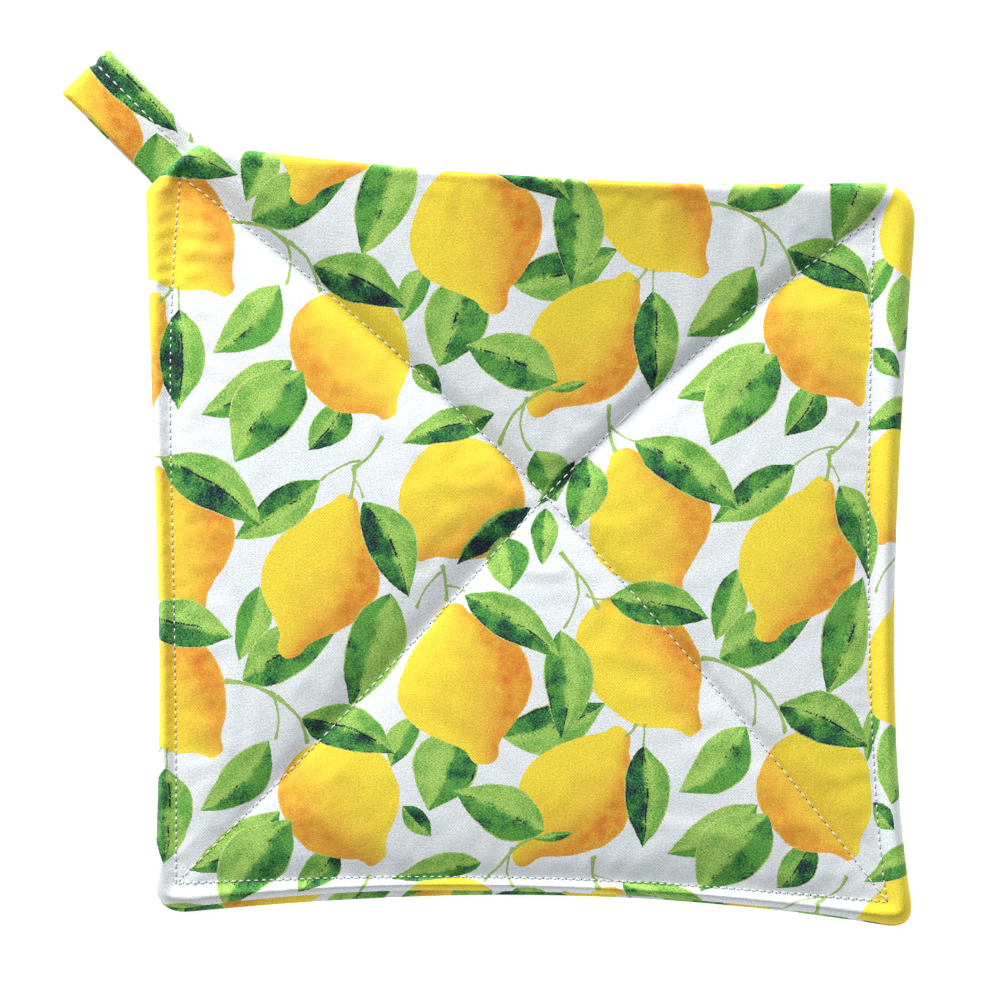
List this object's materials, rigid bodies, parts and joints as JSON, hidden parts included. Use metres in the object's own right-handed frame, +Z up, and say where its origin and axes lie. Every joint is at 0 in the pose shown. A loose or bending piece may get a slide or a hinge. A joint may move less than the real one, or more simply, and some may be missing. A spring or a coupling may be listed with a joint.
{
  "type": "quilted pot holder",
  "caption": "Square padded cotton pot holder in a lemon and leaf print, with crossed quilting, topstitched edges and a corner hanging loop.",
  "frame": {"origin": "middle of the bounding box, hanging loop included, on the surface that the pot holder lies on", "axes": "+Z up out of the quilted front; +Y towards the edge whose left end carries the hanging loop; +X to the right, seen from the front"},
  "size_m": [0.2319, 0.2402, 0.0114],
  "materials": {
    "front_cotton": "matt plain-weave cotton printed with lemons and leaves on white",
    "back_cotton": "matt plain-weave cotton printed with lemons and leaves on white",
    "loop_cotton": "matt plain-weave cotton strip cut from the same print"
  },
  "bodies": {
    "root": {"front_panel": "front_cotton", "back_panel": "back_cotton", "hanging_loop": "loop_cotton"}
  },
  "joints": []
}
